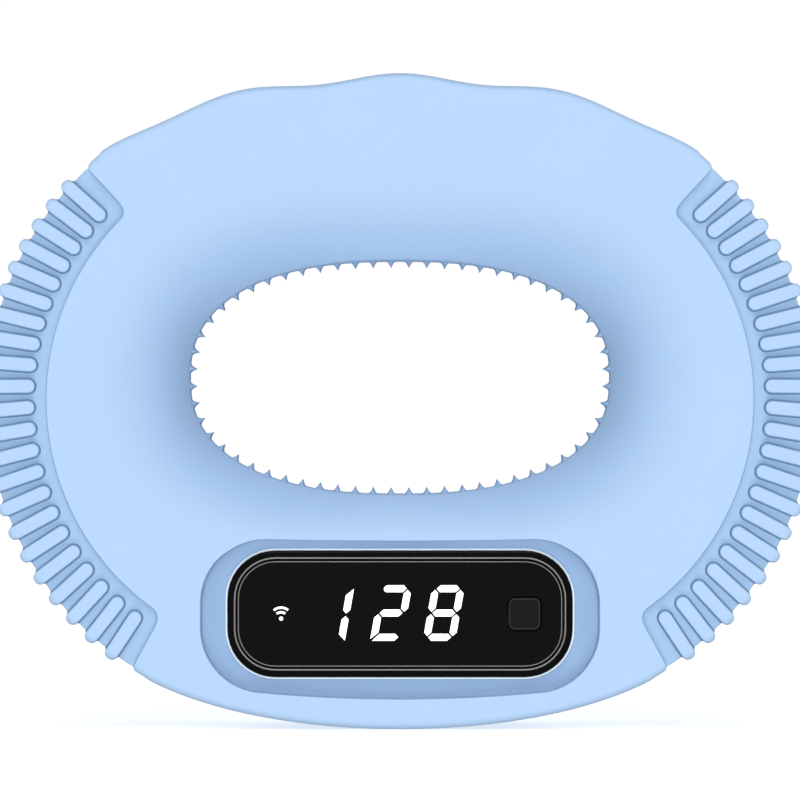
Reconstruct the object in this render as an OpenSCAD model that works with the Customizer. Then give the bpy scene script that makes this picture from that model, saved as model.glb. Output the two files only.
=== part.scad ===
/* [Grip ring] */
// Thickness of the silicone ring from front to back
ring_thickness = 28; // [24:0.5:32]
// Sideways distance from the middle to the centre of each side curve
side_centre_x = 11.5; // [9:0.1:14]
// Height of the centre of each side curve
side_centre_z = 39.1; // [37:0.1:41]
// Radius of the smooth outer edge at the sides
shoulder_radius = 38.2; // [36:0.1:40]
// Height of the crown of the finger side
crown_height = 77.9; // [74:0.1:82]
// Height of the finger grooves, from mean to peak
groove_height = 0.43; // [0:0.01:1.2]
// Distance between neighbouring finger grooves
groove_pitch = 19.2; // [16:0.1:23]
// Radius of the outer edge rounding
edge_rounding = 1.2; // [0.8:0.1:3]

/* [Finger hole] */
// Half the width of the finger hole
hole_half_width = 25.2; // [22:0.1:27]
// Half the height of the finger hole
hole_half_height = 14; // [12:0.05:16]
// How square the finger hole is, from 2 for an ellipse
hole_squareness = 2.4; // [2:0.05:2.6]
// Height of the middle of the finger hole
hole_centre_z = 41.8; // [40:0.1:44]
// Width of the rounding from the face into the hole, at the sides
side_rounding = 13.2; // [8:0.1:13.5]
// Width of the rounding from the face into the hole, above it
upper_rounding = 12; // [6:0.5:13]
// Width of the rounding from the face into the hole, below it
lower_rounding = 9; // [6:0.5:10]
// Slope of the rounding where it meets the hole wall, at the sides
side_slope = 68; // [50:1:68]
// Slope of the rounding where it meets the hole wall, above it
upper_slope = 54; // [40:1:64]
// Slope of the rounding where it meets the hole wall, below it
lower_slope = 58; // [40:1:64]
// Number of small teeth around the hole
tooth_count = 60; // [40:2:80]
// How far each tooth stands out from the hole wall
tooth_height = 0.8; // [0.3:0.05:1]

/* [Side ribs] */
// Number of ribs on each side
rib_count = 22; // [14:1:26]
// Width of each rib
rib_width = 1.66; // [1.2:0.02:2]
// Angle from one rib to the next
rib_step = 4.7; // [4:0.02:6]
// Angle of the highest rib above level
first_rib_angle = 42; // [36:0.1:46]
// How far the rib tips stand beyond the centre of the side curve
rib_tip_radius = 38.5; // [37:0.1:40]
// Radius of the inner edge of the ribbed recess
recess_inner_radius = 30.5; // [28:0.1:33]
// Depth of the ribbed recess
recess_depth = 0.8; // [0.4:0.1:1.4]

/* [Squeeze] */
// Height of each side wall that folds up as the ring is squeezed
wall_height = 24; // [20:1:25]

/* [Counter module] */
// Width of the counter module
module_width = 41; // [36:0.5:44]
// Height of the counter module
module_height = 15; // [12:0.5:17]
// Corner radius of the counter module
module_corner = 5.7; // [3:0.1:7]
// Height of the middle of the counter module
module_centre_z = 13.7; // [12.5:0.1:15]
// Wall thickness of the rear shell
shell_wall = 1.2; // [0.8:0.1:1.6]
// Thickness of the circuit board
board_thickness = 1; // [0.6:0.1:1.6]
// Height of the display digits
digit_height = 6.9; // [5:0.1:7.5]
// Distance between neighbouring digits
digit_pitch = 6.3; // [5.6:0.1:7]
// Width of each lit bar of a digit
bar_width = 0.95; // [0.6:0.05:1.1]
// Lean of the digits
digit_lean = 9; // [0:1:12]
// Size of the square button
button_size = 3.8; // [3:0.1:5]

/* [Hidden] */
$fn = 48;
tiny = 0.01;
half = ring_thickness / 2;
recess_rim_depth = 0.6;
rib_inset = 2.2;
rib_centre = [side_centre_x + 1.8, side_centre_z + 1.8];
side_centre = [side_centre_x, side_centre_z];
recess_top_angle = 47.1;
recess_bottom_angle = -56.5;
wall_foot_z = hole_centre_z - wall_height / 2;
wall_head_z = hole_centre_z + wall_height / 2;
rounding_steps = 5;

// Depths through the counter module, front to back
bezel_front = -13.6;
window_front = -13.5;
window_back = -12.7;
mask_back = -12.3;
guide_back = -12;
bezel_back = -11.6;
seal_back = -11.2;
board_front = -7.6;
board_back = board_front + board_thickness;
screw_seat = -2.4;
shell_floor = 2.2;
shell_back = 3.4;
dish_floor = -12.6;
dish_half_width = 23.6;
dish_corner = 7.6;
dish_top_z = module_centre_z + 8.52;
dish_bottom_z = module_centre_z - 10;
seal_lip = 0.3;
seal_front = -13.05;
screw_x = 17.7;
button_x = 14.78;
icon_x = -14.12;
digit_middle_x = -1.13;
digit_centre_z = module_centre_z + 0.13;
battery_x = 10.6;
button_travel = 0.4;
button_gap = 0.2;

silicone = [0.74, 0.85, 0.99];
black_plastic = [0.07, 0.07, 0.08];
dark_glass = [0.1, 0.1, 0.11];
milky = [0.95, 0.96, 1];
white_plastic = [0.88, 0.88, 0.86];
board_green = [0.08, 0.35, 0.2];
steel = [0.7, 0.71, 0.73];
chip_black = [0.12, 0.12, 0.13];
ceramic = [0.8, 0.74, 0.6];
foil = [0.78, 0.79, 0.8];
foam = [0.25, 0.25, 0.27];
seal_pale = [0.86, 0.92, 0.98];
film_amber = [0.75, 0.5, 0.15];

// Ray distance from the hole centre to the hole wall
function hole_reach(u) = pow(pow(abs(cos(u)) / hole_half_width, hole_squareness)
    + pow(abs(sin(u)) / hole_half_height, hole_squareness), -1 / hole_squareness);

// Width and final slope of the rounding into the hole, in the direction of a ray
function hole_rounding(u) = side_rounding * pow(cos(u), 2)
    + (sin(u) > 0 ? upper_rounding : lower_rounding) * pow(sin(u), 2);
function hole_slope(u) = side_slope * pow(cos(u), 2)
    + (sin(u) > 0 ? upper_slope : lower_slope) * pow(sin(u), 2);

// How far the rounding has dropped below the face, where it has a part of its final slope
function rounding_drop(w, slope, part) = -w * 180 / (PI * slope) * ln(cos(slope * part));

// Wavy finger side, straight sweep of the palm side, and the two side curves
function crown_z(x) = crown_height - 17.13 + 16.73 * sqrt(1 - pow(x / 39.87, 2))
    + groove_height * cos(360 * x / groove_pitch);
function palm_z(x) = 13.5 * (1 - sqrt(1 - pow(x / 36.33, 2)));
function side_point(side, r, a) = [side * (side_centre_x + r * cos(a)), side_centre_z + r * sin(a)];

function ring_outline(r) = concat(
    [for (i = [0:26]) side_point(1, r, -57.4 + 4 * i)],
    [for (i = [0:44]) let (x = 39.87 * sin(62.7 - 2.85 * i)) [x, crown_z(x)]],
    [for (i = [0:26]) side_point(-1, r, 46.6 - 4 * i)],
    [for (i = [0:14]) let (x = 30.8 * (i - 7) / 7) [x, palm_z(x)]]);

// One section through the ring, as a closed loop of points, drawn in by a skin depth
function ring_section(p, face, skin) = let (
    u = atan2(p[1] - hole_centre_z, p[0]),
    near = hole_reach(u) + skin / 2,
    far = norm([p[0], p[1] - hole_centre_z]) - skin,
    w = hole_rounding(u),
    slope = hole_slope(u),
    f = edge_rounding,
    quarter = concat(
        [for (i = [0:rounding_steps]) let (part = i / rounding_steps)
            [near + w * part, face - rounding_drop(w, slope, 1 - part)]],
        [for (i = [2:-1:0]) [far - f + f * cos(45 * i), face - f + f * sin(45 * i)]]))
    concat(
        [for (i = [0:8]) ring_place(u, quarter[i][0], -quarter[i][1])],
        [for (i = [8:-1:0]) ring_place(u, quarter[i][0], quarter[i][1])]);
function ring_place(u, r, y) = [r * cos(u), y, hole_centre_z + r * sin(u)];

// Running length around the hole wall, used to space the teeth evenly
hole_steps = 240;
function bowed(v, power) = sign(v) * pow(abs(v), power);
function hole_point(a) = [hole_half_width * bowed(cos(a), 2 / hole_squareness),
    hole_half_height * bowed(sin(a), 2 / hole_squareness)];
function hole_facing(a) = atan2(hole_half_width * bowed(sin(a), 2 - 2 / hole_squareness),
    hole_half_height * bowed(cos(a), 2 - 2 / hole_squareness));
hole_piece = [for (i = [0:hole_steps - 1])
    norm(hole_point(360 * (i + 1) / hole_steps) - hole_point(360 * i / hole_steps))];
hole_run = [for (i = 0, s = 0; i <= hole_steps; s = s + (i < hole_steps ? hole_piece[i] : 0), i = i + 1)
    [s, 360 * i / hole_steps]];
hole_length = hole_run[hole_steps][0];

// Distance along a rib, from the point all ribs aim at, to a radius about the side centre
function rib_reach(a, r) = let (
    e = rib_centre - side_centre,
    along = e[0] * cos(a) + e[1] * sin(a))
    sqrt(along * along - e * e + r * r) - along;

// The six corners of one bar of a digit, leaning to the right
function bar_corners(x, z, run, thick, upright) = [for (c = [[-run, 0], [thick - run, thick],
    [run - thick, thick], [run, 0], [run - thick, -thick], [thick - run, -thick]])
    let (px = x + (upright ? c[1] : c[0]) / 2, pz = z + (upright ? c[0] : c[1]) / 2)
    [px + pz * tan(digit_lean), pz]];
bar_across = 3.8 - bar_width;
bar_drop = (digit_height - bar_width) / 2;
bar_places = [[0, bar_drop, false], [0, 0, false], [0, -bar_drop, false],
    [-bar_across / 2, bar_drop / 2, true], [bar_across / 2, bar_drop / 2, true],
    [-bar_across / 2, -bar_drop / 2, true], [bar_across / 2, -bar_drop / 2, true]];

// A flat outline in the XZ plane, given depth from front to back
module between(front, back) {
    translate([0, back, 0])
        rotate([90, 0, 0])
            linear_extrude(height = back - front)
                children();
}

module rounded_plate(w, h, r) {
    union() {
        square([w - 2 * r, h], center = true);
        square([w, h - 2 * r], center = true);
        for (x = [-1, 1], z = [-1, 1])
            translate([x * (w / 2 - r), z * (h / 2 - r)])
                circle(r = r);
    }
}

module at_module(x, z = 0) {
    translate([x, module_centre_z + z])
        children();
}

// Outline of the module, grown or shrunk by an amount all round
module module_outline(grow) {
    at_module(0)
        rounded_plate(module_width + 2 * grow, module_height + 2 * grow, module_corner + grow);
}

module ring_blank(r, face, skin = 0) {
    outline = ring_outline(r);
    n = len(outline);
    m = 18;
    points = [for (p = outline) each ring_section(p, face, skin)];
    faces = [for (k = [0:n - 1], j = [0:m - 1]) let (
        a = k * m + j,
        b = k * m + (j + 1) % m,
        c = ((k + 1) % n) * m + (j + 1) % m,
        d = ((k + 1) % n) * m + j)
        each [[a, c, b], [a, d, c]]];
    polyhedron(points = points, faces = faces, convexity = 8);
}

// The two bands at the sides that hold the ribs
module rib_bands() {
    span = recess_top_angle - recess_bottom_angle;
    between(-half - 1, half + 1)
        for (side = [-1, 1])
            offset(r = 1.4)
                offset(delta = -1.4)
                    polygon(concat(
                        [for (i = [0:24]) side_point(side, recess_inner_radius,
                            recess_bottom_angle + span * i / 24)],
                        [for (i = [12:-1:0]) side_point(side, 46, recess_bottom_angle + span * i / 12)]));
}

module rib_blades() {
    for (side = [-1, 1], i = [0:rib_count - 1])
        let (a = first_rib_angle - rib_step * i)
            hull()
                for (s = [rib_reach(a, recess_inner_radius + rib_inset), 40])
                    translate([side * (rib_centre[0] + s * cos(a)), half + 1, rib_centre[1] + s * sin(a)])
                        rotate([90, 0, 0])
                            cylinder(r = rib_width / 2, h = ring_thickness + 2, $fn = 10);
}

// Small pointed teeth on the hole wall, for the stretch of wall between two heights
module hole_teeth(low, high, left, right) {
    for (i = [0:tooth_count - 1])
        let (a = lookup(hole_length * (i + 0.5) / tooth_count, hole_run), p = hole_point(a),
            z = hole_centre_z + p[1])
            if (z > low + 0.25 && z < high - 0.25 && p[0] > left && p[0] < right)
                translate([p[0], 0, z])
                    rotate([0, -hole_facing(a), 0])
                        polyhedron(
                            points = [[0.4, -2.8, -0.5], [0.4, -2.8, 0.5], [0.4, 2.8, 0.5], [0.4, 2.8, -0.5],
                                [-tooth_height, -2, 0], [-tooth_height, 2, 0]],
                            faces = [[0, 1, 2, 3], [0, 4, 1], [3, 2, 5], [1, 4, 5, 2], [0, 3, 5, 4]]);
}

module silicone_ring() {
    difference() {
        ring_blank(shoulder_radius, half);
        rib_bands();
    }
    ring_blank(shoulder_radius, half - recess_depth, recess_rim_depth);
    intersection() {
        ring_blank(rib_tip_radius, half);
        rib_blades();
    }
}

// The part of the ring between two heights, on one side or both
module ring_slice(low, high, left, right) {
    intersection() {
        silicone_ring();
        translate([left, -half - 1, low])
            cube([right - left, ring_thickness + 2, high - low]);
    }
    hole_teeth(low, high, left, right);
}

// Shallow dish round the module: a slightly hollow upper edge, a bowed lower edge and round ends
module module_dish() {
    between(-half - 1, dish_floor)
        offset(r = dish_corner)
            offset(delta = -dish_corner)
                polygon(concat(
                    [for (i = [-12:12]) let (x = dish_half_width * i / 12)
                        [x, dish_bottom_z + 0.0028 * x * x]],
                    [for (i = [12:-1:-12]) let (x = dish_half_width * i / 12)
                        [x, dish_top_z + 0.0012 * x * x]]));
}

module ring_palm_side() {
    color(silicone)
        difference() {
            ring_slice(-1, wall_foot_z, -60, 60);
            module_dish();
            between(-half - 1, seal_back + 0.05)
                module_outline(seal_lip + 0.05);
            between(-half - 1, shell_back + 0.05)
                module_outline(0.05);
            between(0, half + 1)
                at_module(0)
                    rounded_plate(13.4, 7.4, 2);
        }
}

module ring_finger_side() {
    color(silicone)
        ring_slice(wall_head_z, 90, -60, 60);
}

module ring_left_wall() {
    color(silicone)
        ring_slice(wall_foot_z, wall_head_z, -60, 0);
}

module ring_right_wall() {
    color(silicone)
        ring_slice(wall_foot_z, wall_head_z, 0, 60);
}

// Black frame around the window, with a fine groove and two screw posts
module module_front_bezel() {
    color(black_plastic)
        difference() {
            union() {
                between(bezel_front, bezel_back)
                    module_outline(0);
                between(bezel_back - 0.5, board_front)
                    for (x = [-screw_x, screw_x])
                        at_module(x)
                            circle(r = 1.35);
            }
            between(bezel_front - 1, window_back)
                module_outline(-1.3);
            between(window_back - 0.2, bezel_back)
                at_module(0)
                    rounded_plate(34, 10.2, 2.6);
            between(bezel_front - 1, bezel_front + 0.25)
                difference() {
                    module_outline(-0.75);
                    module_outline(-0.95);
                }
            between(bezel_back + 0.8, board_front + 1)
                for (x = [-screw_x, screw_x])
                    at_module(x)
                        circle(r = 0.72);
        }
}

// Gasket between frame and shell, with a pale lip that shows round the frame
module module_seal() {
    color(seal_pale) {
        between(bezel_back, seal_back)
            difference() {
                module_outline(seal_lip);
                module_outline(-1);
            }
        between(seal_front, bezel_back + 0.1)
            difference() {
                module_outline(seal_lip);
                module_outline(tiny);
            }
    }
}

// Rear cup of the module, with screw bosses, a charging opening and a seat for the sensor
module module_rear_shell() {
    color(black_plastic)
        difference() {
            union() {
                difference() {
                    between(seal_back, shell_back)
                        module_outline(0);
                    between(seal_back - 1, shell_floor)
                        module_outline(-shell_wall);
                }
                between(board_back, shell_floor + 0.5)
                    for (x = [-screw_x, screw_x])
                        at_module(x)
                            circle(r = 1.9);
            }
            between(screw_seat, shell_back + 1)
                for (x = [-screw_x, screw_x])
                    at_module(x)
                        circle(r = 1.4);
            between(board_back - 1, screw_seat + 1)
                for (x = [-screw_x, screw_x])
                    at_module(x)
                        circle(r = 0.8);
            between(shell_floor - 1, shell_back + 1)
                at_module(0)
                    rounded_plate(9.1, 3.42, 1.7);
            translate([-13.1, -8.1, module_centre_z + module_height / 2 - 0.4])
                cube([26.2, 6.2, 1]);
        }
}

module module_screws() {
    color(steel)
        for (x = [-screw_x, screw_x])
            difference() {
                union() {
                    between(screw_seat - 8, screw_seat + 0.4)
                        at_module(x)
                            circle(r = 0.7);
                    between(screw_seat, screw_seat + 0.8)
                        at_module(x)
                            circle(r = 1.3);
                }
                for (turn = [0, 90])
                    translate([x, screw_seat + 0.9, module_centre_z])
                        rotate([0, turn, 0])
                            cube([1.5, 0.9, 0.3], center = true);
            }
}

// Smoked window over the display, with a square opening for the button
module display_window() {
    color(dark_glass)
        between(window_front, window_back)
            difference() {
                module_outline(-1.35);
                at_module(button_x)
                    rounded_plate(button_size + 2 * button_gap, button_size + 2 * button_gap, 1);
            }
}

module digit_bars(thick, extra) {
    for (d = [-1:1], b = bar_places)
        translate([digit_middle_x + d * digit_pitch, digit_centre_z])
            polygon(bar_corners(b[0], b[1], (b[2] ? bar_drop : bar_across) - 0.14 + extra, thick, b[2]));
}

module icon_marks(grow) {
    translate([icon_x, module_centre_z]) {
        translate([0, -0.55])
            circle(r = 0.24 + grow);
        for (r = [0.75, 1.3])
            intersection() {
                translate([0, -0.55])
                    difference() {
                        circle(r = r + 0.13 + grow);
                        circle(r = r - 0.13 - grow);
                    }
                polygon([[0, -0.6], [1.6 + grow, 1.3 + grow], [-1.6 - grow, 1.3 + grow]]);
            }
    }
}

module display_mask() {
    color(chip_black)
        between(window_back, mask_back)
            difference() {
                at_module(0)
                    rounded_plate(33.6, 9.8, 2.4);
                digit_bars(bar_width + 0.04, 0.04);
                icon_marks(0.03);
                at_module(button_x)
                    rounded_plate(button_size + 2 * button_gap, button_size + 2 * button_gap, 1);
            }
}

module segment_light_guides() {
    color(milky) {
        between(mask_back, guide_back)
            translate([digit_middle_x, digit_centre_z])
                square([18.9, 8.6], center = true);
        between(window_back, mask_back + 0.1)
            digit_bars(bar_width, 0);
    }
}

module icon_light_guide() {
    color(milky) {
        between(mask_back, guide_back)
            at_module(icon_x)
                rounded_plate(3.4, 3.4, 0.5);
        between(window_back, mask_back + 0.1)
            icon_marks(0);
    }
}

module led_reflector() {
    color(white_plastic)
        difference() {
            between(guide_back, board_front)
                translate([digit_middle_x, digit_centre_z])
                    square([18.9, 8.8], center = true);
            between(guide_back - 1, board_front + 1)
                digit_bars(bar_width, 0);
        }
}

module led_chip() {
    between(board_front - 0.35, board_front)
        square([0.56, 0.4], center = true);
}

module led_chips() {
    color(ceramic) {
        for (d = [-1:1], b = bar_places)
            translate([digit_middle_x + d * digit_pitch + b[0] + b[1] * tan(digit_lean), 0,
                digit_centre_z + b[1]])
                led_chip();
        translate([icon_x, 0, module_centre_z])
            led_chip();
    }
}

module circuit_board() {
    color(board_green)
        between(board_front, board_back)
            difference() {
                at_module(0)
                    rounded_plate(37.8, 11.8, 4.1);
                for (x = [-screw_x, screw_x])
                    at_module(x)
                        circle(r = 0.85);
            }
}

module control_chip() {
    color(chip_black)
        difference() {
            between(board_back, board_back + 0.9)
                at_module(-9.6)
                    square([5, 5], center = true);
            between(board_back + 0.8, board_back + 2)
                at_module(-11.4, 1.8)
                    circle(r = 0.3);
        }
}

module radio_antenna() {
    color(ceramic) {
        between(board_back, board_back + 1.1)
            at_module(-14.4)
                square([1.6, 2.6], center = true);
        for (z = [-1.45, 1.45])
            between(board_back, board_back + 1.1)
                at_module(-14.4, z)
                    square([1.6, 0.3], center = true);
    }
}

module clock_crystal() {
    color(steel) {
        between(board_back, board_back + 0.3)
            at_module(-9.8, 4.3)
                square([3.2, 2], center = true);
        between(board_back + 0.3, board_back + 0.75)
            at_module(-9.8, 4.3)
                rounded_plate(2.8, 1.6, 0.3);
    }
}

module chip_resistors() {
    color(ceramic)
        between(board_back, board_back + 0.5)
            for (p = [[-13.4, -4.3], [-11, -4.3], [-8.6, -4.3], [-6.2, -4.3], [-13.4, 4], [-6.2, 4.3]])
                at_module(p[0], p[1])
                    square([1.6, 0.8], center = true);
}

// Thin film that feels the squeeze, on the hole side of the rear shell
module force_sensor_strip() {
    color(film_amber)
        translate([-13, -8, module_centre_z + module_height / 2 - 0.4])
            cube([26, 6, 0.35]);
}

module battery_cell() {
    color(foil)
        between(board_back + 2, board_back + 7.5)
            at_module(battery_x)
                rounded_plate(10, 11.4, 0.9);
}

module battery_pad() {
    color(foam)
        between(board_back + 7.5, shell_floor)
            at_module(battery_x)
                square([8.6, 10], center = true);
}

module battery_leads() {
    color([0.8, 0.1, 0.08])
        between(board_back, board_back + 2)
            for (x = [-2, 2])
                at_module(battery_x + x, 4.4)
                    circle(r = 0.35);
}

module usb_c_shell() {
    color(steel)
        between(board_back, shell_back)
            difference() {
                at_module(0)
                    rounded_plate(8.94, 3.26, 1.6);
                at_module(0)
                    rounded_plate(8.34, 2.66, 1.3);
            }
}

module usb_c_insert() {
    color(chip_black) {
        between(board_back, board_back + 2.6)
            at_module(0)
                rounded_plate(8.3, 2.62, 1.28);
        between(board_back + 2.5, shell_back - 0.8)
            at_module(0)
                square([6.6, 0.7], center = true);
    }
}

module button_cap() {
    color(black_plastic) {
        between(window_front, guide_back - 0.2)
            at_module(button_x)
                rounded_plate(button_size, button_size, 0.8);
        between(guide_back - 0.2, guide_back + 0.3)
            at_module(button_x)
                square([2.9, 5.2], center = true);
        between(guide_back + 0.2, -9.75)
            at_module(button_x)
                circle(r = 0.9);
    }
}

module switch_base() {
    color(chip_black)
        difference() {
            between(-9.1, board_front)
                at_module(button_x)
                    rounded_plate(2.9, 2.9, 0.3);
            between(-10, -8.1)
                at_module(button_x)
                    circle(r = 0.85);
        }
}

module switch_plunger() {
    color(steel)
        between(-9.75, -8.6)
            at_module(button_x)
                circle(r = 0.8);
}

ring_palm_side();
ring_finger_side();
ring_left_wall();
ring_right_wall();
module_front_bezel();
module_seal();
module_rear_shell();
module_screws();
display_window();
display_mask();
segment_light_guides();
icon_light_guide();
led_reflector();
led_chips();
circuit_board();
control_chip();
radio_antenna();
clock_crystal();
chip_resistors();
force_sensor_strip();
battery_cell();
battery_pad();
battery_leads();
usb_c_shell();
usb_c_insert();
button_cap();
switch_base();
switch_plunger();
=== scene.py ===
import math

import bmesh
import bpy
import numpy as np
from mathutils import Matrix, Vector


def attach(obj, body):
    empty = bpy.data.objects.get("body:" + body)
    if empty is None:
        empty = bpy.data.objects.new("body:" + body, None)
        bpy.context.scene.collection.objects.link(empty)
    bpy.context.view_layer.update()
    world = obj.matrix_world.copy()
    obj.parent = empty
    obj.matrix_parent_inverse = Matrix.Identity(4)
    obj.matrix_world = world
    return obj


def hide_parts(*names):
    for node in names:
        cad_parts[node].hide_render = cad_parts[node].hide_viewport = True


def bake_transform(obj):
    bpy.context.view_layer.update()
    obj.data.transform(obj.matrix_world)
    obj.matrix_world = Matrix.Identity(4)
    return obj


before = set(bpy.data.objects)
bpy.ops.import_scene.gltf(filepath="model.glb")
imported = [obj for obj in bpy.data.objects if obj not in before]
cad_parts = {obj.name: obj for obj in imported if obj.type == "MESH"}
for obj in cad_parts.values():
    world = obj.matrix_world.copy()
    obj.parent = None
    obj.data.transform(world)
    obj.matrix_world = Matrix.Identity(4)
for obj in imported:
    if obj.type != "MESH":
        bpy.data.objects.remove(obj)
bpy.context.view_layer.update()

# ---------------------------------------------------------------- sizes
# All sizes are in millimetres and degrees. make() turns the points into metres.
MM = 0.001

# The ring's outline
HALF = 14.0               # half the ring's thickness
SIDE_X = 11.5             # centre of each side curve
SIDE_Z = 39.1
SHOULDER = 38.2           # radius of each side curve
EDGE = 1.0                # rounding of the outer edge
CROWN_BASE = 60.77        # finger side: a flat arch with a wave on it
CROWN_RISE = 16.73
CROWN_HALF = 39.87
WAVE = 0.43
WAVE_PITCH = 19.2
PALM_RISE = 13.5          # palm side: one sweep
PALM_HALF = 36.33
CORNER_TOP = 37.08        # how far out the corners above and below the recess stand
CORNER_LOW = 31.72
SOFT_TOP = 0.9            # how widely those corners are rounded
SOFT_LOW = 0.7
MID_DEPTHS = (-9.0, -4.5, 0.0)  # depths of the points along the outer surface

# The hole
HOLE_A = 25.2             # half its width
HOLE_B = 14.0             # half its height
HOLE_Z = 41.8             # height of its middle
HOLE_N = 2.4              # how square it is, from 2 for an ellipse
ROUNDING = (13.2, 12.0, 9.0)  # width of the rounding into it: at its sides, above, below
SLOPE = (68.0, 54.0, 58.0)    # slope of that rounding where it meets the wall
LIP = 1.2                 # radius between the rounding and the wall
LIP_STEPS = 3
ROUNDING_STEPS = 16
TEETH = 60
TOOTH = 0.8               # height of the teeth

# The ribbed recess on each flank
AIM_X = 13.3              # the point that all ribs of a flank aim at
AIM_Z = 40.9
RECESS_IN = 30.5          # radius of its inner edge
RECESS_DEEP = 0.8         # depth on the face
RECESS_RIM = 0.6          # depth on the outer surface
RECESS_TOP = 47.2         # directions of its two ends
RECESS_LOW = -61.2
RECESS_CORNER = 1.4       # radius of its inner corners
TURN_PER_MM = math.radians(1.0 / 0.576)  # turn about the aim point for 1 mm along it
RECESS_STEPS = 84         # sections along it
FACE_PARTS = (0.25, 0.5, 0.75)  # points between the hole's rounding and the recess
FLOOR_PARTS = (0.3, 0.65)       # points between the recess's edge and the outer edge
# The step down at its edge: distance past the edge and part of the depth
STEP_DOWN = ((-0.4, 0), (-0.16, 0), (-0.07, 0.02), (-0.02, 0.08), (0, 0.18), (0.05, 1), (0.35, 1))
# The same step at its two ends, with more points round the inner corners
END_STEP = ((-0.8, 0), (-0.4, 0), (-0.16, 0), (-0.07, 0.02), (-0.02, 0.08), (0, 0.18), (0.05, 1),
            (0.15, 1), (0.28, 1), (0.45, 1), (0.65, 1), (0.9, 1), (1.1, 1))

# The ribs
RIBS = 22
RIB_FIRST = 42.0          # direction of the highest rib
RIB_STEP = 4.7            # turn from one rib to the next
RIB_TIP = 38.49           # radius of the ribs' outer surface
RIB_HALF = 0.8            # half a rib's width
RIB_INSET = 2.2           # from the recess's inner edge to a rib's end
RIB_TURN = 1.1            # radius of a rib's bend over the outer edge
RIB_FOOT = 0.98           # from a rib's top down to its foot
RIB_DRAFT = 0.27          # how far the foot spreads
RIB_SOFT = 0.2            # rounding of a rib's top on the faces
RIB_SOFTER = 0.58         # what is added to it on the outer surface
RIB_END_STEPS = 12

# The counter module and the dish round it
MOD_W = 41.0
MOD_H = 15.0
MOD_R = 5.7
MOD_Z = 13.7              # height of its middle
DISH_Y = -12.6            # depth of the dish's floor
DISH_HALF = 23.6
DISH_TOP = 8.7            # its upper and lower edges, from the module's middle
DISH_LOW = -10.0
DISH_R = 7.6
DISH_TOP_BOW = 0.0007     # how much those edges bend
DISH_LOW_BOW = 0.0028
BEZEL_Y = -13.6
BEZEL_BACK = -11.6
BEZEL_EDGE = 0.3
WINDOW_Y = -13.5
OPENING = (34, 10.2, 2.6)  # width, height and corner radius of the opening in the bezel
SCREW_X = 17.7
POST_R = 1.35             # the posts that the screws go into
PORT = (13.4, 7.4, 2.0)   # width, height and corner radius of the charging recess

# The lit digits and icon
DIGIT_X = -1.06           # middle of the second digit
DIGIT_Z = 13.81
DIGIT_W = 3.84
DIGIT_H = 6.6
DIGIT_PITCH = 6.27
ONE_X = -7.93             # middle of the leading one
ONE_Z = 13.6
BAR = 0.83                # width of a bar
BAR_GAP = 0.3
LEAN = 10.0
LIT_Y = WINDOW_Y - 0.03   # depths of the lit plates' two faces
LIT_BACK = WINDOW_Y + 0.05
ICON_X = -14.12
ICON_Z = MOD_Z - 0.55     # middle of the icon's dot
ICON_DOT = 0.24
ICON_ARCS = (0.75, 1.3)
ICON_HALF = 0.13          # half the width of an arc

# The button
BUTTON_X = 14.78
BUTTON = 3.8              # side of the square cap
BUTTON_R = 0.8
FLANGE = (2.9, 5.2, 0.15)  # width, height and corner radius of the flange that keeps it in
STEM_R = 0.9


# ---------------------------------------------------------------- mesh helpers
def make(name, verts, faces, mats, face_mats=None, sharp=32.0):
    """An object from points in millimetres, with smooth shading up to the sharp angle."""
    mesh = bpy.data.meshes.new(name)
    mesh.from_pydata([tuple(float(c) * MM for c in v) for v in verts], [], faces)
    for mat in mats:
        mesh.materials.append(mat)
    if face_mats is not None:
        mesh.polygons.foreach_set("material_index", face_mats)
    bm = bmesh.new()
    bm.from_mesh(mesh)
    bmesh.ops.remove_doubles(bm, verts=bm.verts, dist=1e-7)
    bmesh.ops.recalc_face_normals(bm, faces=bm.faces)
    bm.to_mesh(mesh)
    bm.free()
    mesh.shade_smooth()
    mesh.set_sharp_from_angle(angle=math.radians(sharp))
    obj = bpy.data.objects.new(name, mesh)
    bpy.context.collection.objects.link(obj)
    return obj


class Shape:
    """Gathers several closed solids into one mesh."""

    def __init__(self):
        self.verts = []
        self.faces = []
        self.mats = []

    def add(self, verts, faces, mat=0):
        """Adds a solid. Mat is one material index, or a list with one for each face."""
        start = len(self.verts)
        self.verts.extend(verts)
        self.faces.extend(tuple(i + start for i in face) for face in faces)
        self.mats.extend(mat if isinstance(mat, list) else [mat] * len(faces))

    def make(self, name, mats, sharp=32.0):
        return make(name, self.verts, self.faces, mats, self.mats, sharp)


def grid_faces(rows, cols, wrap_rows=False, wrap_cols=False):
    """Four-sided faces over rows of points."""
    out = []
    for r in range(rows if wrap_rows else rows - 1):
        for c in range(cols if wrap_cols else cols - 1):
            here = r * cols
            above = ((r + 1) % rows) * cols
            beside = (c + 1) % cols
            out.append((here + c, here + beside, above + beside, above + c))
    return out


def quarter(start, steps):
    """The angles of a quarter turn from a start in degrees, with both ends."""
    return [math.radians(start + 90 * k / steps) for k in range(steps + 1)]


def circle(cx, cz, r, count):
    turns = [2 * math.pi * k / count for k in range(count)]
    return [(cx + r * math.cos(t), cz + r * math.sin(t)) for t in turns]


def between(p, q, steps):
    """Points between two points, without the ends."""
    return [(p[0] + (q[0] - p[0]) * k / steps, p[1] + (q[1] - p[1]) * k / steps) for k in range(1, steps)]


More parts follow.
